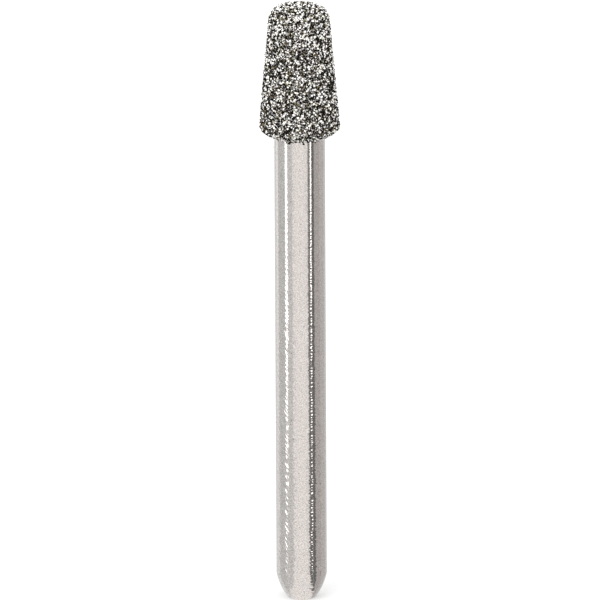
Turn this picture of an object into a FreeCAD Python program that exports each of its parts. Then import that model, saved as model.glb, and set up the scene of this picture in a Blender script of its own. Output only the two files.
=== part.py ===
import FreeCAD
import Part
import Sketcher
import bisect
import itertools
import math
import os
import random
from collections import namedtuple

# Diamond bur for a friction-grip handpiece, in millimetres.
# The shank and the core of the head are one turned steel blank. Nickel is plated over the core,
# and a single layer of diamond grains covers it, each grain lying on one of its facets. Only the
# part of a grain that stands out of the nickel is modelled.
# +Z is the axis that the bur spins on. The origin is the centre of the flat on the shank's end,
# and the tip of the head is on top.

SIZES = (
    ("shank_diameter", 1.6, "friction-grip shank"),
    ("overall_length", 19.2, "flat on the shank's end to the nickel at the tip"),
    ("end_flat_diameter", 0.88, "flat on the shank's end"),
    ("end_taper_length", 0.8, "height of the curved taper above that flat"),
    ("end_crown_radius", 2.0, "radius of the taper's curve"),
    ("head_length", 4.2, "edge of the nickel on the shank to the tip"),
    ("head_diameter", 2.49, "where the side of the head would meet its back unrounded"),
    ("side_angle", 5.2, "side of the head against the axis, in degrees"),
    ("back_angle", 30, "back of the head against a square shoulder, in degrees"),
    ("rim_rounding", 0.25, "of the nickel between the side and the back"),
    ("tip_rounding", 0.45, "of the nickel between the side and the tip"),
    ("bond_depth", 0.09, "nickel over the steel core"),
    ("least_rounding", 0.02, "that the steel core's chamfers stand for"),
    ("grain_size", 0.17, "width of the largest grain"),
    ("small_grain_size", 0.116, "width of the smallest grain"),
    ("grain_height", 0.09, "how far the largest grain stands out of the nickel"),
    ("grain_gap", 0.004, "least nickel between two grains"),
)

# Formulas of the outline, in the sheet's names
SHANK_RADIUS = "sizes.shank_diameter / 2"
HEAD_FOOT = "(sizes.overall_length - sizes.head_length)"
SIDE = "(sizes.side_angle * 1 deg)"
BACK = "(sizes.back_angle * 1 deg)"
RIM_HEIGHT = f"({HEAD_FOOT} + (sizes.head_diameter - sizes.shank_diameter) / 2 * tan({BACK}))"
TIP_RADIUS = f"(sizes.head_diameter / 2 - (sizes.overall_length - {RIM_HEIGHT}) * tan({SIDE}))"
RIM_HALF_ANGLE = f"((90 deg + {BACK} - {SIDE}) / 2)"
TIP_HALF_ANGLE = f"((90 deg + {SIDE}) / 2)"
ON_AXIS = "0"

# A corner of a turned section has formulas for its radius and height before rounding, and for
# the rounding itself, which is None at a sharp corner.
Corner = namedtuple("Corner", "name radius height rounding")

# A grain lies at a spot on the nickel, with its width's half as its reach.
Grain = namedtuple("Grain", "spot outward reach")

GRAIN_SEED = 11
GRAIN_THROWS = 20000
GRAIN_SIDES = 3
TOP_FACET = (0.75, 1)
STANDING = (0.6, 1)
OUTLINE_STEP = 0.02


def make_sheet(doc):
    """Returns the spreadsheet that holds every driving dimension."""
    sheet = doc.addObject("Spreadsheet::Sheet", "sizes")
    for row, (name, value, note) in enumerate(SIZES, start=1):
        sheet.set(f"A{row}", name)
        sheet.set(f"B{row}", str(value))
        sheet.setAlias(f"B{row}", name)
        sheet.set(f"C{row}", note)
    doc.recompute()
    return sheet


def number(owner, formula):
    """Returns what a formula comes to, as a plain number."""
    found = owner.evalExpression(formula)
    return float(getattr(found, "Value", found))


def head_corners(inset):
    """Returns the corners of the head from its foot to its top, each face moved in by inset."""
    spread = f"(1 + sin({BACK} - {SIDE}))"
    return [
        Corner("foot", SHANK_RADIUS, f"{HEAD_FOOT} + {inset} / cos({BACK})", None),
        Corner(
            "rim",
            f"sizes.head_diameter / 2 - {inset} * (sin({BACK}) + cos({SIDE})) / {spread}",
            f"{RIM_HEIGHT} + {inset} * (cos({BACK}) - sin({SIDE})) / {spread}",
            "sizes.rim_rounding",
        ),
        Corner(
            "tip",
            f"{TIP_RADIUS} - {inset} * tan((90 deg - {SIDE}) / 2)",
            f"sizes.overall_length - {inset}",
            "sizes.tip_rounding",
        ),
        Corner("top", ON_AXIS, f"sizes.overall_length - {inset}", None),
    ]


def chamfered(corner, half_angle, way_back, way_on):
    """Returns the two ends of a chamfer in place of a corner of the steel core.

    The chamfer touches the middle of the rounding that runs bond_depth under the nickel's own.
    The ways lead along the two faces, as formulas for radius and height.
    """
    rounding = f"max({corner.rounding} - sizes.bond_depth; sizes.least_rounding)"
    cut = f"({rounding} * (1 / sin({half_angle}) - 1) / cos({half_angle}))"
    return [
        Corner(
            f"{corner.name}_{place}",
            f"{corner.radius} + {cut} * {across}",
            f"{corner.height} + {cut} * {up}",
            None,
        )
        for place, (across, up) in (("start", way_back), ("end", way_on))
    ]


def core_corners():
    """Returns the corners of the steel core under the nickel, from its foot to its top."""
    foot, rim, tip, top = head_corners("sizes.bond_depth")
    along_back = (f"-cos({BACK})", f"-sin({BACK})")
    up_side = (f"-sin({SIDE})", f"cos({SIDE})")
    down_side = (f"sin({SIDE})", f"-cos({SIDE})")
    to_axis = ("-1", "0")
    return [
        foot,
        *chamfered(rim, RIM_HALF_ANGLE, along_back, up_side),
        *chamfered(tip, TIP_HALF_ANGLE, down_side, to_axis),
        top,
    ]


def arc_in_corner(before, corner, after, radius):
    """Returns the arc that rounds a corner between its two neighbours."""
    back = (before - corner).normalize()
    ahead = (after - corner).normalize()
    half_angle = back.getAngle(ahead) / 2
    reach = radius / math.tan(half_angle)
    middle = corner + (back + ahead).normalize() * (radius / math.sin(half_angle) - radius)
    return Part.Arc(corner + back * reach, middle, corner + ahead * reach)


def arc_over_side(start, end, radius):
    """Returns the arc that bulges to the right of the way from start to end."""
    chord = end - start
    outward = FreeCAD.Vector(chord.y, -chord.x, 0).normalize()
    rise = radius - math.sqrt(radius**2 - (chord.Length / 2) ** 2)
    return Part.Arc(start, (start + end) / 2 + outward * rise, end)


def nearest_end(sketch, piece, spot):
    """Returns a sketch piece with the number of its end that lies at the spot."""
    end = min((1, 2), key=lambda which: sketch.getPoint(piece, which).distanceToPoint(spot))
    return piece, end


def bind(sketch, name, formula, kind, *where):
    """Adds a dimension to the sketch and ties it to a formula."""
    index = sketch.addConstraint(Sketcher.Constraint(kind, *where, number(sketch, formula)))
    sketch.renameConstraint(index, name)
    sketch.setExpression(f"Constraints.{name}", formula)


def place_corner(sketch, label, corner, point):
    """Ties a point of the sketch to the radius and height of its corner."""
    if corner.radius == ON_AXIS:
        sketch.addConstraint(Sketcher.Constraint("PointOnObject", *point, -2))
    else:
        bind(sketch, f"{label}_radius", corner.radius, "DistanceX", -1, 1, *point)
    if corner.height == ON_AXIS:
        sketch.addConstraint(Sketcher.Constraint("PointOnObject", *point, -1))
    else:
        bind(sketch, f"{label}_height", corner.height, "DistanceY", -1, 1, *point)


def draw_section(body, corners, crown=None):
    """Draws a turned section on the body's XZ plane, anticlockwise by its corners.

    crown is the name of a corner and the radius of the side that leaves it, if that side bulges.
    Returns the sketch and the numbers of its pieces, from the first corner on.
    """
    sketch = body.newObject("Sketcher::SketchObject", f"{body.Name}_section")
    plane = next(f for f in body.Origin.OriginFeatures if f.Role == "XZ_Plane")
    sketch.AttachmentSupport = (plane, "")
    sketch.MapMode = "FlatFace"

    count = len(corners)
    spots = [FreeCAD.Vector(number(sketch, c.radius), number(sketch, c.height), 0) for c in corners]
    arcs = {}
    for i, corner in enumerate(corners):
        if corner.rounding:
            radius = number(sketch, corner.rounding)
            arcs[i] = arc_in_corner(spots[i - 1], spots[i], spots[(i + 1) % count], radius)

    sides, rounds = [], {}
    for i, corner in enumerate(corners):
        after = (i + 1) % count
        start = arcs[i].EndPoint if i in arcs else spots[i]
        end = arcs[after].StartPoint if after in arcs else spots[after]
        if i in arcs:
            rounds[i] = sketch.addGeometry(arcs[i])
        if crown and crown[0] == corner.name:
            sides.append(sketch.addGeometry(arc_over_side(start, end, number(sketch, crown[1]))))
            bind(sketch, "crown", crown[1], "Radius", sides[-1])
        else:
            sides.append(sketch.addGeometry(Part.LineSegment(start, end)))

    for i, corner in enumerate(corners):
        label = f"corner_{i}_{corner.name}"
        if i in arcs:
            for side, spot in ((sides[i - 1], arcs[i].StartPoint), (sides[i], arcs[i].EndPoint)):
                joint = nearest_end(sketch, side, spot) + nearest_end(sketch, rounds[i], spot)
                sketch.addConstraint(Sketcher.Constraint("Tangent", *joint))
            bind(sketch, f"{label}_rounding", corner.rounding, "Radius", rounds[i])
            point = (sketch.addGeometry(Part.Point(spots[i]), True), 1)
            for side in (sides[i - 1], sides[i]):
                sketch.addConstraint(Sketcher.Constraint("PointOnObject", *point, side))
        else:
            point = nearest_end(sketch, sides[i], spots[i])
            joint = nearest_end(sketch, sides[i - 1], spots[i]) + point
            sketch.addConstraint(Sketcher.Constraint("Coincident", *joint))
        place_corner(sketch, label, corner, point)
    pieces = [piece for i in range(count) for piece in (rounds.get(i), sides[i]) if piece is not None]
    return sketch, pieces


def turn_section(body, sketch):
    """Revolves a section about the bur's axis."""
    turned = body.newObject("PartDesign::Revolution", f"{body.Name}_turned")
    turned.Profile = sketch
    turned.ReferenceAxis = (sketch, ["V_Axis"])
    turned.Angle = 360
    sketch.Visibility = False


def make_blank(doc):
    """Makes the steel blank: the shank with its tapered end, and the core of the head."""
    body = doc.addObject("PartDesign::Body", "blank_body")
    body.Label = "steel_blank"
    shank = [
        Corner("end", ON_AXIS, ON_AXIS, None),
        Corner("flat", "sizes.end_flat_diameter / 2", ON_AXIS, None),
        Corner("taper", SHANK_RADIUS, "sizes.end_taper_length", None),
    ]
    crown = ("flat", "sizes.end_crown_radius")
    sketch, _ = draw_section(body, shank + core_corners(), crown)
    turn_section(body, sketch)
    return body


def make_bond(doc):
    """Makes the nickel plated over the core.

    Returns its body, its sketch and the sketch's pieces along the open surface, foot to top.
    """
    body = doc.addObject("PartDesign::Body", "bond_body")
    body.Label = "nickel_bond"
    outside = head_corners("0")
    inside = [corner._replace(name=f"core_{corner.name}") for corner in core_corners()]
    sketch, pieces = draw_section(body, outside + inside[::-1])
    turn_section(body, sketch)
    return body, sketch, pieces[: pieces_before(outside, "top")]


def pieces_before(corners, name):
    """Returns how many sides and roundings a section has before the corner of that name."""
    before = list(itertools.takewhile(lambda corner: corner.name != name, corners))
    return len(before) + sum(1 for corner in before if corner.rounding)


def surface_strips(sketch, pieces):
    """Returns the coated surface as short straight strips from its foot to its top.

    A strip is the radius and height where it starts, and those where it ends.
    """
    spots = []
    for piece in pieces:
        stretch = sketch.Geometry[piece].toShape().discretize(Distance=OUTLINE_STEP)
        here = spots[-1] if spots else stretch[0]
        if stretch[0].distanceToPoint(here) > stretch[-1].distanceToPoint(here):
            stretch.reverse()
        spots += stretch[1:] if spots else stretch
    return list(itertools.pairwise(spots))


def nearby(cells, cell):
    """Returns the grains in a cell and in the cells around it."""
    steps = itertools.product((-1, 0, 1), repeat=3)
    return [g for s in steps for g in cells.get(tuple(a + b for a, b in zip(cell, s)), ())]


def scatter_grains(sheet, strips):
    """Throws grains on the nickel and keeps those that find room, each as large as it can be."""
    draw = random.Random(GRAIN_SEED)
    largest, smallest = sheet.grain_size / 2, sheet.small_grain_size / 2
    pitch = sheet.grain_size + sheet.grain_gap
    areas = list(itertools.accumulate((a.x + b.x) * (b - a).Length for a, b in strips))
    cells = {}
    for _ in range(GRAIN_THROWS):
        start, end = strips[bisect.bisect(areas, draw.uniform(0, areas[-1]))]
        place = start + (end - start) * draw.random()
        facing = FreeCAD.Vector(end.y - start.y, 0, start.x - end.x).normalize()
        turn = FreeCAD.Rotation(FreeCAD.Vector(0, 0, 1), draw.uniform(0, 360))
        spot = turn.multVec(FreeCAD.Vector(place.x, 0, place.y))
        cell = tuple(int(size // pitch) for size in spot)
        reach = largest
        if facing.z < 0:
            reach = min(reach, place.x - sheet.shank_diameter / 2 - sheet.grain_gap)
        for grain in nearby(cells, cell):
            apart = grain.spot.distanceToPoint(spot)
            reach = min(reach, apart - grain.reach - sheet.grain_gap)
        if reach >= smallest:
            cells.setdefault(cell, []).append(Grain(spot, turn.multVec(facing), reach))
    return [grain for group in cells.values() for grain in group], draw


def ring(grain, turn, lift, reach):
    """Returns the corners of a grain's facet that lies lift above the nickel."""
    stand = FreeCAD.Rotation(FreeCAD.Vector(0, 0, 1), grain.outward)
    step = 2 * math.pi / GRAIN_SIDES
    flat = [(math.cos(turn + step * i), math.sin(turn + step * i)) for i in range(GRAIN_SIDES)]
    return [grain.spot + stand.multVec(FreeCAD.Vector(x * reach, y * reach, lift)) for x, y in flat]


def make_grain(grain, height, draw):
    """Returns a grain: an eight-sided crystal that lies on one facet, cut off at the nickel."""
    turn = draw.uniform(0, 2 * math.pi)
    foot = ring(grain, turn, 0, grain.reach)
    top = ring(grain, turn + math.pi / GRAIN_SIDES, height, grain.reach * draw.uniform(*TOP_FACET))
    facets = [foot, top]
    for i in range(GRAIN_SIDES):
        facets.append([foot[i], foot[(i + 1) % GRAIN_SIDES], top[i]])
        facets.append([top[i - 1], top[i], foot[i]])
    faces = [Part.Face(Part.makePolygon(corners + corners[:1])) for corners in facets]
    return Part.makeSolid(Part.makeShell(faces))


def make_grit(doc, sheet, sketch, pieces):
    """Makes the layer of diamond grains, one separate crystal for each."""
    grains, draw = scatter_grains(sheet, surface_strips(sketch, pieces))
    steepness = sheet.grain_height / (sheet.grain_size / 2)
    crystals = []
    for grain in grains:
        height = grain.reach * steepness * draw.uniform(*STANDING)
        crystals.append(make_grain(grain, height, draw))
    grit = doc.addObject("Part::Feature", "grit_layer")
    grit.Label = "diamond_grit"
    grit.Shape = Part.makeCompound(crystals)
    grit.Placement = FreeCAD.Placement()
    print("diamond grains:", len(grains))
    return grit


def check_document(doc, parts):
    """Stops with a message if anything in the document failed."""
    for item in doc.Objects:
        failed = {"Invalid", "Error"} & set(item.State)
        if failed:
            raise RuntimeError(f"{item.Label} is {failed}")
        if item.TypeId == "Sketcher::SketchObject" and not item.FullyConstrained:
            raise RuntimeError(f"{item.Label} has loose dimensions")
    for item in parts:
        if item.Shape.isNull() or not item.Shape.isValid():
            raise RuntimeError(f"{item.Label} has no valid shape")


def main():
    doc = FreeCAD.newDocument("dental_bur")
    sheet = make_sheet(doc)
    blank = make_blank(doc)
    bond, sketch, open_pieces = make_bond(doc)
    doc.recompute()
    grit = make_grit(doc, sheet, sketch, open_pieces)
    doc.recompute()
    parts = (blank, bond, grit)
    check_document(doc, parts)
    os.makedirs("parts", exist_ok=True)
    for item in parts:
        item.Shape.exportStep(f"parts/{item.Label}.step")


main()
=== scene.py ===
import bisect
import itertools
import logging
import math
import random
from dataclasses import dataclass, field
from enum import Enum

import bpy
import numpy as np
from mathutils import Matrix, Vector


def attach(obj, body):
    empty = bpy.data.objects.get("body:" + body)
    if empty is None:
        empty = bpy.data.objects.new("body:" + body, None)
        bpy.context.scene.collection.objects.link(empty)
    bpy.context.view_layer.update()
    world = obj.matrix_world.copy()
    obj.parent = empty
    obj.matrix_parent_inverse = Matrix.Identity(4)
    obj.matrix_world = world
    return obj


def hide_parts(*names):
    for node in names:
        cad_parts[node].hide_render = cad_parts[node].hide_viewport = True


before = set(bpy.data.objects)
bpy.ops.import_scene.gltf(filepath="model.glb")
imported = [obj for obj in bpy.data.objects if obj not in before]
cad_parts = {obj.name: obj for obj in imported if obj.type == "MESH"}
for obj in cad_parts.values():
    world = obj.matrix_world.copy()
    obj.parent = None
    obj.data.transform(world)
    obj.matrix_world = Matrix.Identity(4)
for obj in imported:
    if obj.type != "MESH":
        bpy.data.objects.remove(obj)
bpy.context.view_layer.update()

# A friction-grip dental bur with a diamond-coated head, standing on the flat of its shank.
# Sizes are in millimetres where a class names them, and Blender's meshes are in metres.
# Angles are in degrees where a class names them, unless the name says radians.

MM = 0.001
log = logging.getLogger("bur")

# Points closer than this, in millimetres, count as one.
TOUCHING = 1e-6
# Most of a noise's values lie in this span.
NOISE_SPAN = (0.3, 0.7)
# The places of the Mix node's inputs and output for colours.
MIX_INPUTS = (0, 6, 7)
MIX_OUTPUT = 2

Colour = tuple[float, float, float]
WHITE: Colour = (1.0, 1.0, 1.0)


class Place(Enum):
    """The faces of the coated head, from the shank to the tip."""

    BACK = "back"
    RIM = "rim"
    SIDE = "side"
    TIP = "tip"
    TOP = "top"


class Crystal(Enum):
    """The kinds of diamond in the layer, by the colour of their body."""

    CLEAR = "clear"
    OLIVE = "olive"
    AMBER = "amber"
    ROSY = "rosy"


class SeenBy(Enum):
    """Which rays meet a piece of the studio."""

    ALL_BUT_GLOSS = "all but gloss"
    GLOSS_ONLY = "gloss only"


@dataclass(frozen=True)
class Spot:
    """A point of a turned outline, with the way out of the surface there, where grains may lie on it."""

    radius: float
    height: float
    out: float = 0.0
    up: float = 0.0
    place: Place | None = None


class Nodes:
    """A material's or world's node tree, filled one node at a time."""

    def __init__(self, owner: bpy.types.Material | bpy.types.World) -> None:
        """Empties the tree of a material or world.

        Args:
            owner: The material or world whose nodes are made.
        """
        owner.use_nodes = True
        self.tree = owner.node_tree
        self.tree.nodes.clear()

    def add(self, kind: str, values: dict[str, object] | None = None, **settings: object) -> bpy.types.Node:
        """Adds a node.

        Args:
            kind: The node's type in Blender.
            values: Its inputs by name, each a constant or the output of another node.
            **settings: The node's own settings.

        Returns:
            The new node.
        """
        node = self.tree.nodes.new(kind)
        for name, value in settings.items():
            setattr(node, name, value)
        for name, value in (values or {}).items():
            self.feed(node.inputs[name], value)
        return node

    def feed(self, socket: bpy.types.NodeSocket, value: object) -> None:
        """Sets a socket to a constant, or links an output to it.

        Args:
            socket: The input to fill.
            value: A constant, or another node's output.
        """
        if isinstance(value, bpy.types.NodeSocket):
            self.tree.links.new(value, socket)
        elif isinstance(value, tuple) and len(value) == 3 and socket.type == "RGBA":
            socket.default_value = (*value, 1.0)
        else:
            socket.default_value = value

    def math(self, operation: str, first: object, second: object) -> bpy.types.NodeSocket:
        """Adds a sum, product or the like of two values.

        Args:
            operation: The Math node's operation.
            first: A number or an output.
            second: A number or an output.

        Returns:
            The result's output.
        """
        node = self.add("ShaderNodeMath", operation=operation)
        self.feed(node.inputs[0], first)
        self.feed(node.inputs[1], second)
        return node.outputs[0]

    def span(
        self, value: object, low: float, high: float, to_low: float, to_high: float
    ) -> bpy.types.NodeSocket:
        """Carries a value from one span to another, held at its ends.

        Args:
            value: The output to carry over.
            low: The start of its span.
            high: The end of its span.
            to_low: What the start becomes.
            to_high: What the end becomes.

        Returns:
            The result's output.
        """
        inputs = {"Value": value, "From Min": low, "From Max": high, "To Min": to_low, "To Max": to_high}
        return self.add("ShaderNodeMapRange", inputs, clamp=True).outputs["Result"]

    def noise(self, where: object, size: float, detail: float = 2.0) -> bpy.types.NodeSocket:
        """Returns a noise from 0 to 1, with grains of a size in millimetres and finer layers on them."""
        node = self.add("ShaderNodeTexNoise", {"Vector": where, "Scale": 1 / (size * MM), "Detail": detail})
        return node.outputs["Fac"]

    def stretched(self, where: object, scale: tuple[float, float, float]) -> bpy.types.NodeSocket:
        """Returns coordinates times a factor along each axis."""
        return self.add("ShaderNodeMapping", {"Vector": where, "Scale": scale}).outputs["Vector"]

    def turn_round(self, where: bpy.types.NodeSocket) -> bpy.types.NodeSocket:
        """Returns the angle round the bur's axis, from the front, in radians."""
        axes = self.add("ShaderNodeSeparateXYZ", {"Vector": where}).outputs
        return self.math("ARCTAN2", axes["X"], self.math("MULTIPLY", axes["Y"], -1.0))

    def tinted(
        self, amount: object, first: object, second: object, blend: str = "MIX"
    ) -> bpy.types.NodeSocket:
        """Mixes two colours.

        Args:
            amount: How much of the second colour there is.
            first: The first colour.
            second: The second colour.
            blend: The way of mixing.

        Returns:
            The mixed colour's output.
        """
        node = self.add("ShaderNodeMix", data_type="RGBA", blend_type=blend)
        for place, value in zip(MIX_INPUTS, (amount, first, second)):
            self.feed(node.inputs[place], value)
        return node.outputs[MIX_OUTPUT]

    def finish(self, surface: bpy.types.NodeSocket, output: str = "ShaderNodeOutputMaterial") -> None:
        """Links the finished shader to the tree's output, a node of the given kind."""
        self.add(output, {"Surface": surface})


@dataclass(frozen=True)
class GroundSteel:
    """Stainless steel, finely ground round the shank and lightly scratched towards its end."""

    radius: float = 0.8
    warm: Colour = (0.735, 0.662, 0.640)
    cool: Colour = (0.705, 0.676, 0.634)
    speckle_size: float = 0.036
    speckle: float = 0.32
    hue_to_speckle: float = 1.4
    hue_span: tuple[float, float] = (0.35, 0.65)
    pit_size: float = 0.07
    pit_span: tuple[float, float] = (0.72, 0.78)
    pit_strength: float = 0.8
    pit_colour: Colour = (0.20, 0.19, 0.18)
    roughness: tuple[float, float] = (0.08, 0.12)
    ring_size: float = 0.02
    ring_stretch: float = 12.0
    scuff_size: float = 0.062
    scuff_slants: tuple[float, float] = (3.0, 58.0)
    slant_radians: tuple[float, float] = (-0.2, -0.45)
    scuff_length: float = 4.0
    scuff_depth: float = 0.010
    scuff_span: tuple[float, float] = (14.0, 3.0)
    scuff_amounts: tuple[tuple[float, float], ...] = ((0.3, 1.0), (0.08, 1.0))

    def material(self) -> bpy.types.Material:
        """Makes the finish.

        Returns:
            The material.
        """
        made = bpy.data.materials.new("ground_steel")
        nodes = Nodes(made)
        where = nodes.add("ShaderNodeTexCoord").outputs["Object"]
        pressed = nodes.stretched(where, (1.0, 1.0, self.ring_stretch))
        rings = nodes.noise(pressed, self.ring_stretch * self.ring_size)
        shader = nodes.add(
            "ShaderNodeBsdfPrincipled",
            {
                "Base Color": self.speckled(nodes, where),
                "Metallic": 1.0,
                "Roughness": nodes.span(rings, *NOISE_SPAN, *self.roughness),
                "Normal": self.scuffed(nodes, where),
            },
        )
        nodes.finish(shader.outputs[0])
        return made

    def speckled(self, nodes: Nodes, where: bpy.types.NodeSocket) -> bpy.types.NodeSocket:
        """Paints the steel in two close hues, with fine speckles and a few dark pits.

        Args:
            nodes: The finish's tree.
            where: The coordinates in the bur's frame.

        Returns:
            The steel's colour.
        """
        speckle = nodes.noise(where, self.speckle_size, 3.0)
        hue = nodes.noise(where, self.hue_to_speckle * self.speckle_size, 1.0)
        plain = nodes.tinted(nodes.span(hue, *self.hue_span, 0.0, 1.0), self.warm, self.cool)
        level = nodes.span(speckle, *NOISE_SPAN, 1 - self.speckle, 1 + self.speckle)
        grey = nodes.add("ShaderNodeCombineColor", {"Red": level, "Green": level, "Blue": level})
        base = nodes.tinted(1.0, plain, grey.outputs["Color"], "MULTIPLY")
        pits = nodes.noise(where, self.pit_size, 1.0)
        return nodes.tinted(nodes.span(pits, *self.pit_span, 0.0, self.pit_strength), base, self.pit_colour)

    def scuffed(self, nodes: Nodes, where: bpy.types.NodeSocket) -> bpy.types.NodeSocket:
        """Scratches the steel in short scuffs: nearly level ones, and steep ones on one side of the shank.

        Args:
            nodes: The finish's tree.
            where: The coordinates in the bur's frame.

        Returns:
            The normal of the scratched surface.
        """
        height = nodes.add("ShaderNodeSeparateXYZ", {"Vector": where}).outputs["Z"]
        turn = nodes.turn_round(where)
        faintest, deepest = (end * MM for end in self.scuff_span)
        scuffs = []
        for slant, amounts in zip(self.scuff_slants, self.scuff_amounts):
            wear = nodes.span(height, faintest, deepest, *amounts)
            marks = nodes.noise(self.unrolled(nodes, height, turn, slant), self.scuff_size, 0.0)
            scuffs.append(nodes.math("MULTIPLY", marks, wear))
        side = nodes.span(turn, *self.slant_radians, 0.0, 1.0)
        both = nodes.add("ShaderNodeMix", {"Factor": side, "A": scuffs[0], "B": scuffs[1]})
        relief = {"Strength": 1.0, "Distance": self.scuff_depth * MM, "Height": both.outputs["Result"]}
        return nodes.add("ShaderNodeBump", relief).outputs["Normal"]

    def unrolled(
        self, nodes: Nodes, height: bpy.types.NodeSocket, turn: bpy.types.NodeSocket, slant: float
    ) -> bpy.types.NodeSocket:
        """Unrolls the shank's surface, so that a noise on it runs in short slanting scuffs.

        Args:
            nodes: The finish's tree.
            height: The height on the bur.
            turn: The angle round the bur, in radians.
            slant: The scuffs' slant, in degrees.

        Returns:
            Coordinates across and along the scuffs.
        """
        arc = nodes.math("MULTIPLY", turn, self.radius * MM)
        level, climb = math.cos(math.radians(slant)), math.sin(math.radians(slant))
        up, aside = nodes.math("MULTIPLY", height, level), nodes.math("MULTIPLY", arc, climb)
        across = nodes.math("ADD", up, aside)
        on, down = nodes.math("MULTIPLY", arc, level), nodes.math("MULTIPLY", height, climb)
        along = nodes.math("DIVIDE", nodes.math("SUBTRACT", on, down), self.scuff_length)
        return nodes.add("ShaderNodeCombineXYZ", {"X": across, "Y": along}).outputs["Vector"]


@dataclass(frozen=True)
class NickelPlate:
    """Bright nickel, plated in small nodules between the diamonds, with painted shade in the hollows between
    the nodules.
    """

    colour: Colour = (0.80, 0.78, 0.74)
    # A near-black, painted as shade in the hollows between the nodules.
    shade: Colour = (0.045, 0.034, 0.022)
    shade_span: tuple[float, float] = (0.52, 0.60)
    nodule: float = 0.035
    depth: float = 0.008
    roughness: float = 0.22

    def material(self) -> bpy.types.Material:
        """Makes the finish.

        Returns:
            The material.
        """
        made = bpy.data.materials.new("nickel_plate")
        nodes = Nodes(made)
        where = nodes.add("ShaderNodeTexCoord").outputs["Object"]
        nodules = nodes.noise(where, self.nodule)
        # Painted shade: the colour falls to the near-black where the nodules sink.
        bright = nodes.span(nodules, *self.shade_span, 0.0, 1.0)
        bump = nodes.add("ShaderNodeBump", {"Strength": 1.0, "Distance": self.depth * MM, "Height": nodules})
        shader = nodes.add(
            "ShaderNodeBsdfPrincipled",
            {
                "Base Color": nodes.tinted(bright, self.shade, self.colour),
                "Metallic": 1.0,
                "Roughness": self.roughness,
                "Normal": bump.outputs["Normal"],
            },
        )
        nodes.finish(shader.outputs[0])
        return made


@dataclass(frozen=True)
class DiamondGrit:
    """Synthetic diamond, each facet as dark or bright as the colours on its mesh say: painted shade and
    painted glints, tinted by the crystals' body colours.
    """

    metallic: float = 0.3
    roughness: tuple[float, float] = (0.18, 0.34)
    index: float = 1.35
    specular: float = 0.2
    specular_tint: Colour = (1.0, 0.90, 0.74)
    cloud_size: float = 0.03
    cloud: tuple[float, float] = (0.75, 1.15)
    attribute: str = "facet_light_and_tint"

    def material(self) -> bpy.types.Material:
        """Makes the finish.

        Returns:
            The material.
        """
        made = bpy.data.materials.new("diamond_grit")
        nodes = Nodes(made)
        where = nodes.add("ShaderNodeTexCoord").outputs["Object"]
        # The facets' painted shade and painted glints, with the crystals' tints, read from the mesh.
        tone = nodes.add("ShaderNodeAttribute", attribute_name=self.attribute).outputs["Color"]
        clouds = nodes.noise(where, self.cloud_size)
        strength = nodes.span(clouds, *NOISE_SPAN, *self.cloud)
        scaled = nodes.add("ShaderNodeVectorMath", operation="SCALE")
        nodes.feed(scaled.inputs[0], tone)
        nodes.feed(scaled.inputs["Scale"], strength)
        shader = nodes.add(
            "ShaderNodeBsdfPrincipled",
            {
                "Base Color": scaled.outputs["Vector"],
                "Metallic": self.metallic,
                "Roughness": nodes.span(clouds, *NOISE_SPAN, *self.roughness),
                "IOR": self.index,
                "Specular IOR Level": self.specular,
                "Specular Tint": self.specular_tint,
            },
        )
        nodes.finish(shader.outputs[0])
        return made


@dataclass(frozen=True)
class StagePaper:
    """Grey paper that glows only where it is seen, so that it looks white and still takes a shadow."""

    colour: Colour = (0.44, 0.44, 0.44)
    glow: float = 0.34

    def material(self) -> bpy.types.Material:
        """Makes the finish.

        Returns:
            The material.
        """
        made = bpy.data.materials.new("stage_paper")
        nodes = Nodes(made)
        path = nodes.add("ShaderNodeLightPath")
        paper = nodes.add("ShaderNodeBsdfDiffuse", {"Color": self.colour})
        strength = nodes.math("MULTIPLY", seen_white(nodes, path), self.glow)
        glow = nodes.add("ShaderNodeEmission", {"Color": WHITE, "Strength": strength})
        both = nodes.add("ShaderNodeAddShader")
        nodes.feed(both.inputs[0], paper.outputs[0])
        nodes.feed(both.inputs[1], glow.outputs[0])
        nodes.finish(both.outputs[0])
        return made


def seen_white(nodes: Nodes, path: bpy.types.Node) -> bpy.types.NodeSocket:
    """Returns 1 for the rays that see a white background: camera, glossy and transmission rays."""
    direct = nodes.math("MAXIMUM", path.outputs["Is Camera Ray"], path.outputs["Is Glossy Ray"])
    return nodes.math("MAXIMUM", direct, path.outputs["Is Transmission Ray"])


def dress(piece: bpy.types.Object, material: bpy.types.Material) -> None:
    """Gives a piece its one material."""
    piece.data.materials.clear()
    piece.data.materials.append(material)


def new_piece(name: str, points: np.ndarray, faces: list[tuple[int, ...]]) -> bpy.types.Object:
    """Makes an object from points in millimetres.

    Args:
        name: The object's name.
        points: Its points, one row each.
        faces: The points of each face, anticlockwise from outside.

    Returns:
        The object, in the scene.
    """
    mesh = bpy.data.meshes.new(name)
    mesh.from_pydata((points * MM).tolist(), [], faces)
    mesh.validate()
    piece = bpy.data.objects.new(name, mesh)
    bpy.context.scene.collection.objects.link(piece)
    return piece


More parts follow.
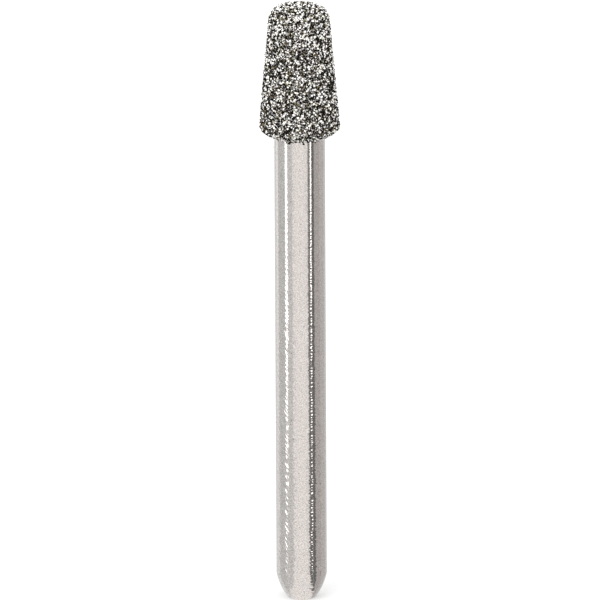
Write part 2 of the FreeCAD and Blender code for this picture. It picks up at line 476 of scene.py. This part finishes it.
def turned(name: str, outline: list[Spot], around: int, crease: float) -> bpy.types.Object:
    """Turns an outline about the axis into a closed piece.

    Args:
        name: The piece's name.
        outline: Its outline from the axis below to the axis above.
        around: How many steps a turn has.
        crease: The angle in degrees from which an edge stays sharp.

    Returns:
        The turned piece, smooth between its sharp edges.
    """
    angles = np.arange(around) * (2 * math.pi / around)
    sin, cos = np.sin(angles), np.cos(angles)
    inner = outline[1:-1]
    rows = [np.column_stack((s.radius * cos, s.radius * sin, np.full(around, s.height))) for s in inner]
    ends = np.array([[0.0, 0.0, outline[0].height], [0.0, 0.0, outline[-1].height]])
    points = np.vstack([*rows, ends])
    bottom, top = len(points) - 2, len(points) - 1
    last = (len(inner) - 1) * around
    faces = []
    for i in range(around):
        after = (i + 1) % around
        faces.append((bottom, after, i))
        faces.append((top, last + i, last + after))
        for row in range(len(inner) - 1):
            low, high = row * around, (row + 1) * around
            faces.append((low + i, low + after, high + after, high + i))
    piece = new_piece(name, points, faces)
    piece.data.shade_smooth()
    piece.data.set_sharp_from_angle(angle=math.radians(crease))
    return piece


def rounded(corners: list[tuple[float, float, float]], places: list[Place], step: float) -> list[Spot]:
    """Draws a turned outline with rounded corners.

    Args:
        corners: The radius, height and rounding of each corner.
        places: The name of each side and rounding, in their order along the outline.
        step: The longest distance between two points.

    Returns:
        The outline's points, from its first corner to its last.
    """
    names = iter(places)
    points = [Vector((radius, height)) for radius, height, _ in corners]
    start, spots = points[0], []
    for i, corner in enumerate(points[1:], start=1):
        along = (corner - points[i - 1]).normalized()
        out = Vector((along.y, -along.x))
        rounding = corners[i][2]
        reach, turn = 0.0, 0.0
        if rounding:
            turn = along.angle((points[i + 1] - corner).normalized())
            reach = rounding * math.tan(turn / 2)
        end = corner - along * reach
        place = next(names)
        count = max(1, math.ceil((end - start).length / step))
        for k in range(count + 1):
            spot = start.lerp(end, k / count)
            spots.append(Spot(spot.x, spot.y, out.x, out.y, place))
        start = end
        if rounding:
            middle, place = end - out * rounding, next(names)
            count = max(2, math.ceil(turn * rounding / step))
            for k in range(1, count):
                facing = out.copy()
                facing.rotate(Matrix.Rotation(turn * k / count, 2))
                spot = middle + facing * rounding
                spots.append(Spot(spot.x, spot.y, facing.x, facing.y, place))
            start = corner + (points[i + 1] - corner).normalized() * reach
    return spots


def without_doubles(outline: list[Spot]) -> list[Spot]:
    """Drops each point that lies on the one before it.

    Args:
        outline: The outline.

    Returns:
        The outline's other points.
    """
    kept = outline[:1]
    for spot in outline[1:]:
        if math.hypot(spot.radius - kept[-1].radius, spot.height - kept[-1].height) > TOUCHING:
            kept.append(spot)
    return kept


@dataclass(frozen=True)
class HeadForm:
    """The form of the coated head: a cone that widens to the shank, rounded at its rim and tip."""

    foot_radius: float = 0.8
    foot_height: float = 15.0
    top_height: float = 19.2
    widest_radius: float = 1.245
    side_angle: float = 5.2
    back_angle: float = 30.0
    rim_rounding: float = 0.25
    tip_rounding: float = 0.45

    def outline(self, inset: float, step: float) -> list[Spot]:
        """Draws the head's surface.

        Args:
            inset: How far it is moved into the head.
            step: The longest distance between two points.

        Returns:
            Its points from the foot to the axis on top.
        """
        back_slope = math.tan(math.radians(self.back_angle))
        side_slope = math.tan(math.radians(self.side_angle))
        rim_height = self.foot_height + (self.widest_radius - self.foot_radius) * back_slope
        tip_radius = self.widest_radius - (self.top_height - rim_height) * side_slope
        corners = [
            (self.foot_radius, self.foot_height, 0.0),
            (self.widest_radius, rim_height, self.rim_rounding),
            (tip_radius, self.top_height, self.tip_rounding),
            (0.0, self.top_height, 0.0),
        ]
        drawn = rounded(corners, [Place.BACK, Place.RIM, Place.SIDE, Place.TIP, Place.TOP], step)
        moved = []
        for s in drawn:
            radius, height = s.radius - inset * s.out, s.height - inset * s.up
            moved.append(Spot(max(0.0, radius), height, s.out, s.up, s.place))
        return moved


@dataclass
class Blank:
    """The turned steel blank: the plain shank, its tapered end and the core of the head."""

    head: HeadForm
    finish: GroundSteel
    shank_radius: float = 0.8
    flat_radius: float = 0.44
    taper_height: float = 0.8
    crown_radius: float = 2.0
    taper_steps: int = 24
    edge_rounding: float = 0.03
    edge_in: float = 0.3
    edge_up: float = 0.12
    bond_depth: float = 0.09
    core_step: float = 0.15
    shoulder: float = 0.02
    around: int = 256
    step: float = 0.12
    crease: float = 30.0

    def taper(self) -> list[Spot]:
        """Draws the curved taper.

        Returns:
            Its points from the flat's edge to the shank.
        """
        start, end = Vector((self.flat_radius, 0.0)), Vector((self.shank_radius, self.taper_height))
        chord = end - start
        out = Vector((chord.y, -chord.x)).normalized()
        depth = math.sqrt(self.crown_radius**2 - (chord.length / 2) ** 2)
        middle = (start + end) / 2 - out * depth
        first, last = start - middle, end - middle
        sweep = first.angle(last)
        spots = []
        for k in range(self.taper_steps + 1):
            way = first.copy()
            way.rotate(Matrix.Rotation(sweep * k / self.taper_steps, 2))
            spot = middle + way
            spots.append(Spot(spot.x, spot.y))
        return spots

    def outline(self) -> list[Spot]:
        """Draws the blank's outline, with the edges of the flat and of the taper eased.

        Returns:
            Its points from the flat's middle to the core's top.
        """
        rounding = self.edge_rounding
        flat = [
            Spot(0.0, 0.0),
            Spot(self.flat_radius - rounding, 0.0),
            Spot(self.flat_radius - rounding * self.edge_in, rounding * self.edge_up),
        ]
        lowest, highest = rounding * 0.5, self.taper_height - 2 * rounding
        eased = [s for s in self.taper() if lowest < s.height < highest]
        bend_radius = self.shank_radius - rounding * self.edge_up
        bend = [Spot(bend_radius, self.taper_height - rounding * self.edge_in)]
        neck_height = self.head.foot_height + self.bond_depth / 2
        count = math.ceil((neck_height - self.taper_height) / self.step)
        rise = (neck_height - self.taper_height - rounding) / count
        start = self.taper_height + rounding
        shank = [Spot(self.shank_radius, start + rise * k) for k in range(count + 1)]
        core = [s for s in self.head.outline(self.bond_depth, self.core_step) if s.height > neck_height]
        widest = self.shank_radius + self.shoulder
        core = [s for s in core if s.place is not Place.BACK or s.radius > widest]
        return without_doubles(flat + eased + bend + shank + core)

    def build(self) -> bpy.types.Object:
        """Turns and dresses the blank.

        Returns:
            The finished piece.
        """
        piece = turned("shank_blank", self.outline(), self.around, self.crease)
        dress(piece, self.finish.material())
        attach(piece, "root")
        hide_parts("steel_blank")
        return piece


@dataclass
class NickelCoat:
    """The nickel plated over the core, thrown up in low nodules between the diamonds."""

    head: HeadForm
    finish: NickelPlate
    around: int = 240
    step: float = 0.035
    crease: float = 60.0
    nodule_height: float = 0.010
    sunk_share: float = 0.35
    seed: int = 5

    def build(self) -> bpy.types.Object:
        """Turns the coat, raises its nodules and dresses it.

        Returns:
            The finished piece.
        """
        surface = without_doubles(self.head.outline(0.0, self.step))
        floor = [Spot(0.0, self.head.foot_height)]
        piece = turned("nickel_coat", floor + surface, self.around, self.crease)
        self.raise_nodules(piece)
        dress(piece, self.finish.material())
        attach(piece, "root")
        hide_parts("nickel_bond")
        return piece

    def raise_nodules(self, piece: bpy.types.Object) -> None:
        """Lifts the coat's points by small random heights.

        Args:
            piece: The turned coat.
        """
        mesh = piece.data
        count = len(mesh.vertices)
        points = np.empty(count * 3)
        mesh.vertices.foreach_get("co", points)
        points = points.reshape(-1, 3)
        facing = np.array([v.normal[:] for v in mesh.vertices])
        draw = np.random.default_rng(self.seed)
        lift = (draw.random(count) - self.sunk_share) * self.nodule_height * MM
        held = points[:, 2] < (self.head.foot_height + TOUCHING) * MM
        lift[held] = 0.0
        mesh.vertices.foreach_set("co", (points + facing * lift[:, None]).ravel())
        mesh.update()


@dataclass(frozen=True)
class Shape:
    """A crystal's shape: its points on a ball of radius 1, and its flat faces."""

    points: np.ndarray
    faces: list[tuple[int, ...]]


@dataclass(frozen=True)
class CrystalCut:
    """How a diamond is cut: eight slanting faces with their corners cut square, none of them even."""

    face_depth: tuple[float, float] = (0.50, 0.72)
    corner_depth: tuple[float, float] = (0.55, 0.80)
    squash: tuple[float, float] = (0.8, 1.25)
    tilt: float = 0.16
    least_corner: float = 0.05
    tolerance: float = 1e-9

    def cut(self, draw: random.Random) -> Shape:
        """Cuts one crystal.

        Args:
            draw: The source of random numbers.

        Returns:
            The crystal, scaled to reach 1 from its middle.
        """
        ways = [Vector(signs).normalized() for signs in itertools.product((-1, 1), repeat=3)]
        depths = [draw.uniform(*self.face_depth) for _ in ways]
        for axis, sign in itertools.product(range(3), (-1, 1)):
            way = Vector((0.0, 0.0, 0.0))
            way[axis] = sign
            ways.append(way)
            depths.append(draw.uniform(*self.corner_depth))
        squash = [draw.uniform(*self.squash) for _ in range(3)]
        tilts = [Vector([draw.uniform(-self.tilt, self.tilt) for _ in range(3)]) for _ in ways]
        ways = [(way + tilt).normalized() for way, tilt in zip(ways, tilts)]
        points, faces = self.corners(np.array([way[:] for way in ways]), np.array(depths))
        placed = points * np.array(squash)
        return Shape(placed / np.linalg.norm(placed, axis=1).max(), faces)

    def corners(self, normals: np.ndarray, depths: np.ndarray) -> tuple[np.ndarray, list[tuple[int, ...]]]:
        """Finds the corners where the cut planes meet.

        Args:
            normals: The way that each plane faces.
            depths: Each plane's distance from the middle.

        Returns:
            The corners, one row each, and the corners of each face in order round it.
        """
        points: list[np.ndarray] = []
        on_plane: list[list[int]] = [[] for _ in normals]
        for three in itertools.combinations(range(len(normals)), 3):
            rows = normals[list(three)]
            if abs(np.linalg.det(rows)) < self.least_corner:
                continue
            point = np.linalg.solve(rows, depths[list(three)])
            if (normals @ point - depths).max() > self.tolerance:
                continue
            for plane in three:
                on_plane[plane].append(len(points))
            points.append(point)
        faces = []
        for plane, found in enumerate(on_plane):
            if len(found) < 3:
                continue
            spokes = np.array([points[i] for i in found]) - np.mean([points[i] for i in found], axis=0)
            across = np.cross(normals[plane], spokes[0])
            angles = [math.atan2(spoke @ across, spoke @ spokes[0]) for spoke in spokes]
            faces.append(tuple(i for _, i in sorted(zip(angles, found))))
        return np.array(points), faces


@dataclass(frozen=True)
class Grain:
    """A diamond's place on the head: its middle, the way out of the surface, and its half width."""

    spot: Vector
    outward: Vector
    reach: float
    place: Place


class PaintedGrainLight(Enum):
    """How a batch's grains get painted light: a painted lit side and a painted shaded side each, or one
    painted level for the whole grain.
    """

    LIT_AND_SHADED_SIDES = "two sides"
    ONE_TONE = "one tone"


@dataclass(frozen=True)
class Sieve:
    """A batch of grains of one size range, and how closely they are thrown."""

    throws: int
    half_width: tuple[float, float]
    closeness: float
    lift: tuple[float, float]
    facing: PaintedGrainLight


def any_way(draw: random.Random) -> Vector:
    """Returns a random direction."""
    return Vector([draw.gauss(0, 1) for _ in range(3)]).normalized()


@dataclass
class FacetPaintedLightAndTint:
    """Painted light on the facets: painted shade, painted glints and middle levels, drawn at random and
    tinted by each crystal's body colour.

    An olive or amber crystal's facet is stained if its throw lies above the share stained_from of
    painted_shade_share and below stained_to.
    """

    # The darkest facets are painted shade and the brightest are painted glints; the middle ones lie between.
    painted_shade_share: float = 0.66
    middle_share: float = 0.08
    dark: tuple[float, float] = (0.0, 0.012)
    middle: tuple[float, float] = (0.05, 0.25)
    bright: tuple[float, float] = (0.85, 1.0)
    stained: tuple[float, float] = (0.02, 0.20)
    stained_from: float = 0.45
    stained_to: float = 0.93
    stain_depth: float = 2.6
    glint_depth: float = 0.3
    stray_facets: float = 0.15
    painted_side_contrast: float = 2.0
    whole_grain: float = 0.6
    body: dict[Crystal, tuple[float, Colour]] = field(
        default_factory=lambda: {
            Crystal.CLEAR: (0.52, (1.0, 0.975, 0.925)),
            Crystal.OLIVE: (0.24, (0.97, 0.93, 0.70)),
            Crystal.AMBER: (0.14, (1.0, 0.88, 0.70)),
            Crystal.ROSY: (0.10, (1.0, 0.92, 0.90)),
        }
    )

    def level(self, source: random.Random, throw: float, kind: Crystal) -> float:
        """Draws one facet's painted light: painted shade, a middle level, a painted glint, or a stained
        level.

        Args:
            source: The source of random numbers.
            throw: How bright it is among all facets, mostly from 0 to 1.
            kind: The kind of its crystal.

        Returns:
            The painted brightness, from 0 for painted shade to 1 for a painted glint.
        """
        stains = kind in (Crystal.OLIVE, Crystal.AMBER)
        if stains and self.stained_from * self.painted_shade_share < throw < self.stained_to:
            return source.uniform(*self.stained)
        if throw < self.painted_shade_share:
            return source.uniform(*self.dark)
        if throw < self.painted_shade_share + self.middle_share:
            return source.uniform(*self.middle)
        return source.uniform(*self.bright)

    def draw(self, source: random.Random, ways: np.ndarray, facing: PaintedGrainLight) -> list[Colour]:
        """Draws the colours of one grain's facets: painted light, tinted by the crystal's body colour.

        Args:
            source: The source of random numbers.
            ways: The way that each facet faces.
            facing: Whether the grain has a painted lit side and a painted shaded side, or one painted level.

        Returns:
            A colour for each facet.
        """
        kinds = list(self.body)
        kind = source.choices(kinds, [self.body[k][0] for k in kinds])[0]
        tint = self.body[kind][1]
        whole = source.random()
        # Painted light from a random way: facets turned towards it are painted bright, facets turned away
        # are painted shade.
        lit = np.array(any_way(source))
        colours = []
        for way in ways:
            throw = whole
            if facing is PaintedGrainLight.LIT_AND_SHADED_SIDES:
                throw = source.random()
                if throw > self.stray_facets:
                    towards = (1 + float(way @ lit)) / 2
                    painted_side_shift = self.painted_side_contrast * (towards - 0.5)
                    throw = self.painted_shade_share + painted_side_shift - self.whole_grain * (whole - 0.5)
            level = self.level(source, throw, kind)
            # Painted glints keep little of the crystal's tint; stained and shaded facets keep more of it.
            depth = self.glint_depth if level > self.middle[1] else self.stain_depth
            colours.append(tuple(level * c**depth for c in tint))
        return colours


@dataclass(frozen=True)
class Stray:
    """A grain caught on the shank: its angle from the front, its height and its half width."""

    angle: float
    height: float
    reach: float


@dataclass
class GritLayer:
    """The single layer of diamonds on the head, with the few that lie by its foot."""

    head: HeadForm
    finish: DiamondGrit
    crystal: CrystalCut = CrystalCut()
    # The painted light on the facets, with the crystals' body tints.
    tones: FacetPaintedLightAndTint = field(default_factory=FacetPaintedLightAndTint)
    shapes: int = 36
    seed: int = 23
    step: float = 0.02
    batches: tuple[Sieve, ...] = (
        Sieve(44000, (0.046, 0.064), 0.58, (-0.25, 0.15), PaintedGrainLight.LIT_AND_SHADED_SIDES),
        Sieve(24000, (0.028, 0.042), 0.70, (-0.15, 0.35), PaintedGrainLight.ONE_TONE),
    )
    highest: dict[Place, float] = field(
        default_factory=lambda: {
            Place.BACK: 0.06,
            Place.RIM: 0.075,
            Place.SIDE: 0.075,
            Place.TIP: 0.07,
            Place.TOP: 0.07,
        }
    )
    strays: tuple[Stray, ...] = (
        Stray(-80.0, 14.69, 0.035),
        Stray(-24.0, 14.95, 0.055),
        Stray(-31.0, 14.93, 0.04),
        Stray(9.0, 14.94, 0.045),
        Stray(38.0, 14.95, 0.04),
        Stray(142.0, 14.93, 0.05),
        Stray(-128.0, 14.92, 0.045),
    )

    def scatter(self, draw: random.Random) -> list[list[Grain]]:
        """Throws the grains on the head, each kept if it finds room.

        Args:
            draw: The source of random numbers.

        Returns:
            The kept grains of each batch.
        """
        outline = without_doubles(self.head.outline(0.0, self.step))
        strips = list(itertools.pairwise(outline))
        widths = [math.hypot(b.radius - a.radius, b.height - a.height) for a, b in strips]
        bands = [(a.radius + b.radius) * width for (a, b), width in zip(strips, widths)]
        areas = list(itertools.accumulate(bands))
        pitch = 2 * max(sieve.half_width[1] for sieve in self.batches)
        steps = list(itertools.product((-1, 0, 1), repeat=3))
        cells: dict[tuple[int, ...], list[Grain]] = {}
        batches = []
        for sieve in self.batches:
            kept = []
            for _ in range(sieve.throws):
                low, high = strips[bisect.bisect(areas, draw.uniform(0, areas[-1]))]
                part, angle = draw.random(), draw.uniform(0, 2 * math.pi)
                reach = draw.uniform(*sieve.half_width)
                radius = low.radius + (high.radius - low.radius) * part
                height = low.height + (high.height - low.height) * part
                spot = Vector((radius * math.cos(angle), radius * math.sin(angle), height))
                cell = tuple(int(size // pitch) for size in spot)
                i, j, k = cell
                near = (grain for a, b, c in steps for grain in cells.get((i + a, j + b, k + c), ()))
                if any((g.spot - spot).length < sieve.closeness * (g.reach + reach) for g in near):
                    continue
                outward = Vector((low.out * math.cos(angle), low.out * math.sin(angle), low.up))
                grain = Grain(spot, outward, reach, low.place)
                cells.setdefault(cell, []).append(grain)
                kept.append(grain)
            batches.append(kept)
        return batches

    def stray_grains(self) -> list[Grain]:
        """Places the few grains that were caught on the shank by the foot of the head.

        Returns:
            The grains.
        """
        grains = []
        for stray in self.strays:
            turn = math.radians(stray.angle)
            outward = Vector((math.sin(turn), -math.cos(turn), 0.0))
            spot = outward * self.head.foot_radius + Vector((0.0, 0.0, stray.height))
            grains.append(Grain(spot, outward, stray.reach, Place.BACK))
        return grains

    def heap(self, name: str, grains: list[Grain], sieve: Sieve, draw: random.Random) -> bpy.types.Object:
        """Builds one piece from many grains.

        Args:
            name: The piece's name.
            grains: The grains.
            sieve: The batch that they are of.
            draw: The source of random numbers.

        Returns:
            The piece, with its facets' painted light and tints.
        """
        shapes = [self.crystal.cut(draw) for _ in range(self.shapes)]
        all_points, all_faces, colours, base = [], [], [], 0
        for grain in grains:
            shape = draw.choice(shapes)
            turn = Matrix.Rotation(draw.uniform(0, 2 * math.pi), 3, any_way(draw))
            rise = draw.uniform(*sieve.lift) * grain.reach
            points = shape.points @ np.array(turn).T * grain.reach
            over = (points @ np.array(grain.outward)).max() + rise - self.highest[grain.place]
            middle = grain.spot + grain.outward * (rise - max(0.0, over))
            all_points.append(points + np.array(middle))
            all_faces += [tuple(base + i for i in face) for face in shape.faces]
            ways = np.array([points[list(face)].mean(axis=0) for face in shape.faces])
            ways /= np.linalg.norm(ways, axis=1)[:, None]
            colours += self.tones.draw(draw, ways, sieve.facing)
            base += len(points)
        piece = new_piece(name, np.vstack(all_points), all_faces)
        self.paint(piece, colours)
        dress(piece, self.finish.material())
        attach(piece, "root")
        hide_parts("diamond_grit")
        return piece

    def paint(self, piece: bpy.types.Object, colours: list[Colour]) -> None:
        """Writes each facet's colour, its painted light and tint, on its corners.

        Args:
            piece: The piece.
            colours: A colour for each face.
        """
        mesh = piece.data
        layer = mesh.color_attributes.new(self.finish.attribute, "FLOAT_COLOR", "CORNER")
        sizes = [len(face.vertices) for face in mesh.polygons]
        rows = np.repeat(np.array([(*c, 1.0) for c in colours]), sizes, axis=0)
        layer.data.foreach_set("color", rows.ravel())

    def build(self) -> list[bpy.types.Object]:
        """Throws, cuts and paints all the grains.

        Returns:
            The layer's finished pieces.
        """
        draw = random.Random(self.seed)
        coarse, fine = self.scatter(draw)
        log.info("grains: %d coarse, %d fine", len(coarse), len(fine))
        return [
            self.heap("grit_coarse", coarse, self.batches[0], draw),
            self.heap("grit_fine", fine + self.stray_grains(), self.batches[1], draw),
        ]


@dataclass(frozen=True)
class Card:
    """An upright card of the studio, by the angles it fills round the bur and its brightness."""

    name: str
    start: float
    end: float
    colour: Colour
    foot: float = -115.0
    end_level: float = 1.0
    low_level: float = 1.0
    dim_below: float = -200.0
    dim_level: float = 1.0
    foot_fade: float = 1.0
    foot_level: float = 1.0

    def level(self, height: float) -> float:
        """Returns how bright the card is at a height: dimmer lower down, and fading to its foot's level."""
        sunk = min(1.0, max(0.0, (self.foot + self.foot_fade - height) / self.foot_fade))
        return (self.dim_level if height < self.dim_below else 1.0) * (1 + (self.foot_level - 1) * sunk)


@dataclass(frozen=True)
class Lamp:
    """A soft round lamp: where it hangs, how wide it is, and its power in watts."""

    name: str
    place: tuple[float, float, float]
    size: float
    power: float


@dataclass
class Studio:
    """The floor, the white surroundings, the cards that the steel mirrors, and the lamps."""

    paper: StagePaper
    floor_size: float = 3000.0
    soft_light: float = 1.5
    card_distance: float = 90.0
    card_top: float = 90.0
    card_step: float = 3.0
    card_rows: int = 200
    splay: float = 25.0
    splay_from: float = -20.0
    splay_depth: float = 75.0
    most_splay: float = 1.5
    lean: float = 0.10
    lean_from: float = -8.0
    lean_depth: float = 20.0
    fade_span: tuple[float, float] = (-5.0, -20.0)
    cards: tuple[Card, ...] = (
        Card("card_left_rear", -180.0, -136.0, (0.80, 0.82, 0.83)),
        Card("strip_left_rear", -136.0, -117.0, (1.06, 1.07, 1.08), foot=-60.0, low_level=0.85),
        Card("card_left", -117.0, -70.5, (0.64, 0.67, 0.68)),
        Card("strip_left", -69.6, -60.0, (2.8, 2.8, 2.8), dim_below=-18.0, dim_level=0.26),
        Card("card_left_front", -60.5, -36.5, (0.71, 0.73, 0.74)),
        Card("front_left", -36.5, -8.0, (0.93, 0.93, 0.93), end_level=1.10),
        Card("front_right", 8.0, 35.6, (1.03, 1.03, 1.03), end_level=0.88),
        Card(
            "flag_right_front", 35.4, 47.2, (0.32, 0.33, 0.33),
            low_level=0.55, foot_fade=24.0, foot_level=5.0,
        ),
        Card(
            "strip_right", 47.2, 52.4, (2.7, 2.7, 2.7),
            foot=-120.0, dim_below=-13.5, dim_level=0.13, foot_fade=14.0, foot_level=2.5,
        ),
        Card("flag_right", 52.4, 66.0, (0.17, 0.175, 0.18), foot=-130.0, foot_fade=14.0, foot_level=5.0),
        Card("card_right", 66.0, 98.0, (0.51, 0.50, 0.50)),
        Card("card_right_rear", 98.0, 135.0, (0.585, 0.585, 0.585)),
        Card("card_behind", 135.0, 180.0, (0.67, 0.69, 0.70)),
    )
    lamps: tuple[Lamp, ...] = (
        Lamp("lamp_key", (-160.0, -260.0, 340.0), size=360.0, power=1.1),
        Lamp("lamp_fill", (240.0, -140.0, 300.0), size=360.0, power=0.25),
    )
    lamp_aim: tuple[float, float, float] = (0.0, 0.0, 10.0)

    def build(self) -> None:
        """Makes the whole studio."""
        self.lay_floor()
        self.surround()
        for card in self.cards:
            self.stand_card(card)
        for lamp in self.lamps:
            self.hang_lamp(lamp)

    def show(self, piece: bpy.types.Object, seen: SeenBy) -> None:
        """Says which rays meet a piece of the studio.

        Args:
            piece: The piece of the studio.
            seen: The rays that meet it.
        """
        gloss = seen is SeenBy.GLOSS_ONLY
        piece.visible_glossy = gloss
        piece.visible_camera = not gloss
        piece.visible_diffuse = not gloss
        piece.visible_transmission = not gloss
        piece.visible_shadow = not gloss

    def lay_floor(self) -> None:
        """Lays the floor under the bur."""
        half = self.floor_size / 2
        corners = np.array([(-half, -half, 0.0), (half, -half, 0.0), (half, half, 0.0), (-half, half, 0.0)])
        floor = new_piece("floor", corners, [(0, 1, 2, 3)])
        dress(floor, self.paper.material())
        self.show(floor, SeenBy.ALL_BUT_GLOSS)

    def surround(self) -> None:
        """Makes the surroundings: plain white where they are seen, and of soft_light's strength as light."""
        world = bpy.data.worlds.new("surroundings")
        bpy.context.scene.world = world
        nodes = Nodes(world)
        path = nodes.add("ShaderNodeLightPath")
        strength = nodes.span(seen_white(nodes, path), 0.0, 1.0, self.soft_light, 1.0)
        light = nodes.add("ShaderNodeBackground", {"Color": WHITE, "Strength": strength})
        nodes.finish(light.outputs[0], "ShaderNodeOutputWorld")

    def card_point(self, turn: float, height: float) -> tuple[float, float, float]:
        """Places a point of a card, whose foot leans aside and is splayed away from the front.

        Args:
            turn: Its angle round the bur, from the front.
            height: Its height.

        Returns:
            The point.
        """
        depth = min(self.most_splay, max(0.0, self.splay_from - height) / self.splay_depth)
        turn += self.lean * min(self.lean_depth, max(0.0, self.lean_from - height))
        turn = math.radians(turn + self.splay * depth * math.sin(math.radians(turn)))
        return math.sin(turn) * self.card_distance, -math.cos(turn) * self.card_distance, height

    def stand_card(self, card: Card) -> None:
        """Stands one card beside the bur.

        Args:
            card: The card.
        """
        across = max(2, math.ceil((card.end - card.start) / self.card_step))
        down = self.card_rows
        turns = [card.start + (card.end - card.start) * i / across for i in range(across + 1)]
        heights = [card.foot + (self.card_top - card.foot) * k / down for k in range(down + 1)]
        points = [self.card_point(turn, height) for height in heights for turn in turns]
        faces = []
        for row, i in itertools.product(range(down), range(across)):
            low, high = row * (across + 1) + i, (row + 1) * (across + 1) + i
            faces.append((low, low + 1, high + 1, high))
        piece = new_piece(card.name, np.array(points), faces)
        self.light_card(piece, card, heights, across + 1)
        self.show(piece, SeenBy.GLOSS_ONLY)

    def light_card(self, piece: bpy.types.Object, card: Card, heights: list[float], columns: int) -> None:
        """Gives a card its brightness, point by point.

        Args:
            piece: The card's piece.
            card: The card.
            heights: The height of each row of its points.
            columns: How many points a row has.
        """
        high, low = self.fade_span
        sunk = np.clip((high - np.array(heights)) / (high - low), 0.0, 1.0)
        rows = np.array([card.level(height) for height in heights]) * (1 + (card.low_level - 1) * sunk)
        shares = np.outer(rows, np.linspace(1.0, card.end_level, columns)).ravel()
        tones = np.column_stack((*(shares * c for c in card.colour), shares))
        layer = piece.data.color_attributes.new("level", "FLOAT_COLOR", "POINT")
        layer.data.foreach_set("color", tones.ravel())
        made = bpy.data.materials.new(card.name)
        made.cycles.emission_sampling = "NONE"
        nodes = Nodes(made)
        level = nodes.add("ShaderNodeAttribute", attribute_name="level").outputs["Color"]
        nodes.finish(nodes.add("ShaderNodeEmission", {"Color": level}).outputs[0])
        dress(piece, made)

    def hang_lamp(self, lamp: Lamp) -> None:
        """Hangs a lamp that faces the bur.

        Args:
            lamp: The lamp.
        """
        light = bpy.data.lights.new(lamp.name, "AREA")
        light.shape = "DISK"
        light.size = lamp.size * MM
        light.energy = lamp.power
        hung = bpy.data.objects.new(lamp.name, light)
        place = Vector(lamp.place)
        hung.location = place * MM
        hung.rotation_euler = (Vector(self.lamp_aim) - place).to_track_quat("-Z", "Y").to_euler()
        bpy.context.scene.collection.objects.link(hung)


@dataclass
class Viewpoint:
    """The camera, a little above the bur and leaning by a hair."""

    elevation: float = 14.5
    distance: float = 400.0
    lens: float = 762.0
    sensor: float = 36.0
    clip: tuple[float, float] = (10.0, 10000.0)
    aim: tuple[float, float, float] = (-0.011, 0.0, 9.69)
    lean: float = -0.285

    def build(self) -> None:
        """Places the scene's camera."""
        lens = bpy.data.cameras.new("camera")
        lens.lens = self.lens
        lens.sensor_width = self.sensor
        lens.clip_start, lens.clip_end = (end * MM for end in self.clip)
        camera = bpy.data.objects.new("camera", lens)
        rise = math.radians(self.elevation)
        away = Vector((0.0, -math.cos(rise), math.sin(rise))) * self.distance
        place = Matrix.Translation((Vector(self.aim) + away) * MM)
        look = Matrix.Rotation(math.radians(90 - self.elevation), 4, "X")
        camera.matrix_world = place @ look @ Matrix.Rotation(math.radians(self.lean), 4, "Z")
        bpy.context.scene.collection.objects.link(camera)
        bpy.context.scene.camera = camera


def main() -> None:
    """Builds the camera, the bur and the studio."""
    logging.basicConfig(level=logging.INFO, format="%(name)s: %(message)s")
    bpy.context.scene.view_settings.view_transform = "Standard"
    Viewpoint().build()
    head = HeadForm()
    pieces = [
        Blank(head, GroundSteel()).build(),
        NickelCoat(head, NickelPlate()).build(),
        *GritLayer(head, DiamondGrit()).build(),
    ]
    for piece in pieces:
        log.info("%s: %d faces", piece.name, len(piece.data.polygons))
    Studio(StagePaper()).build()


if __name__ == "__main__":
    main()
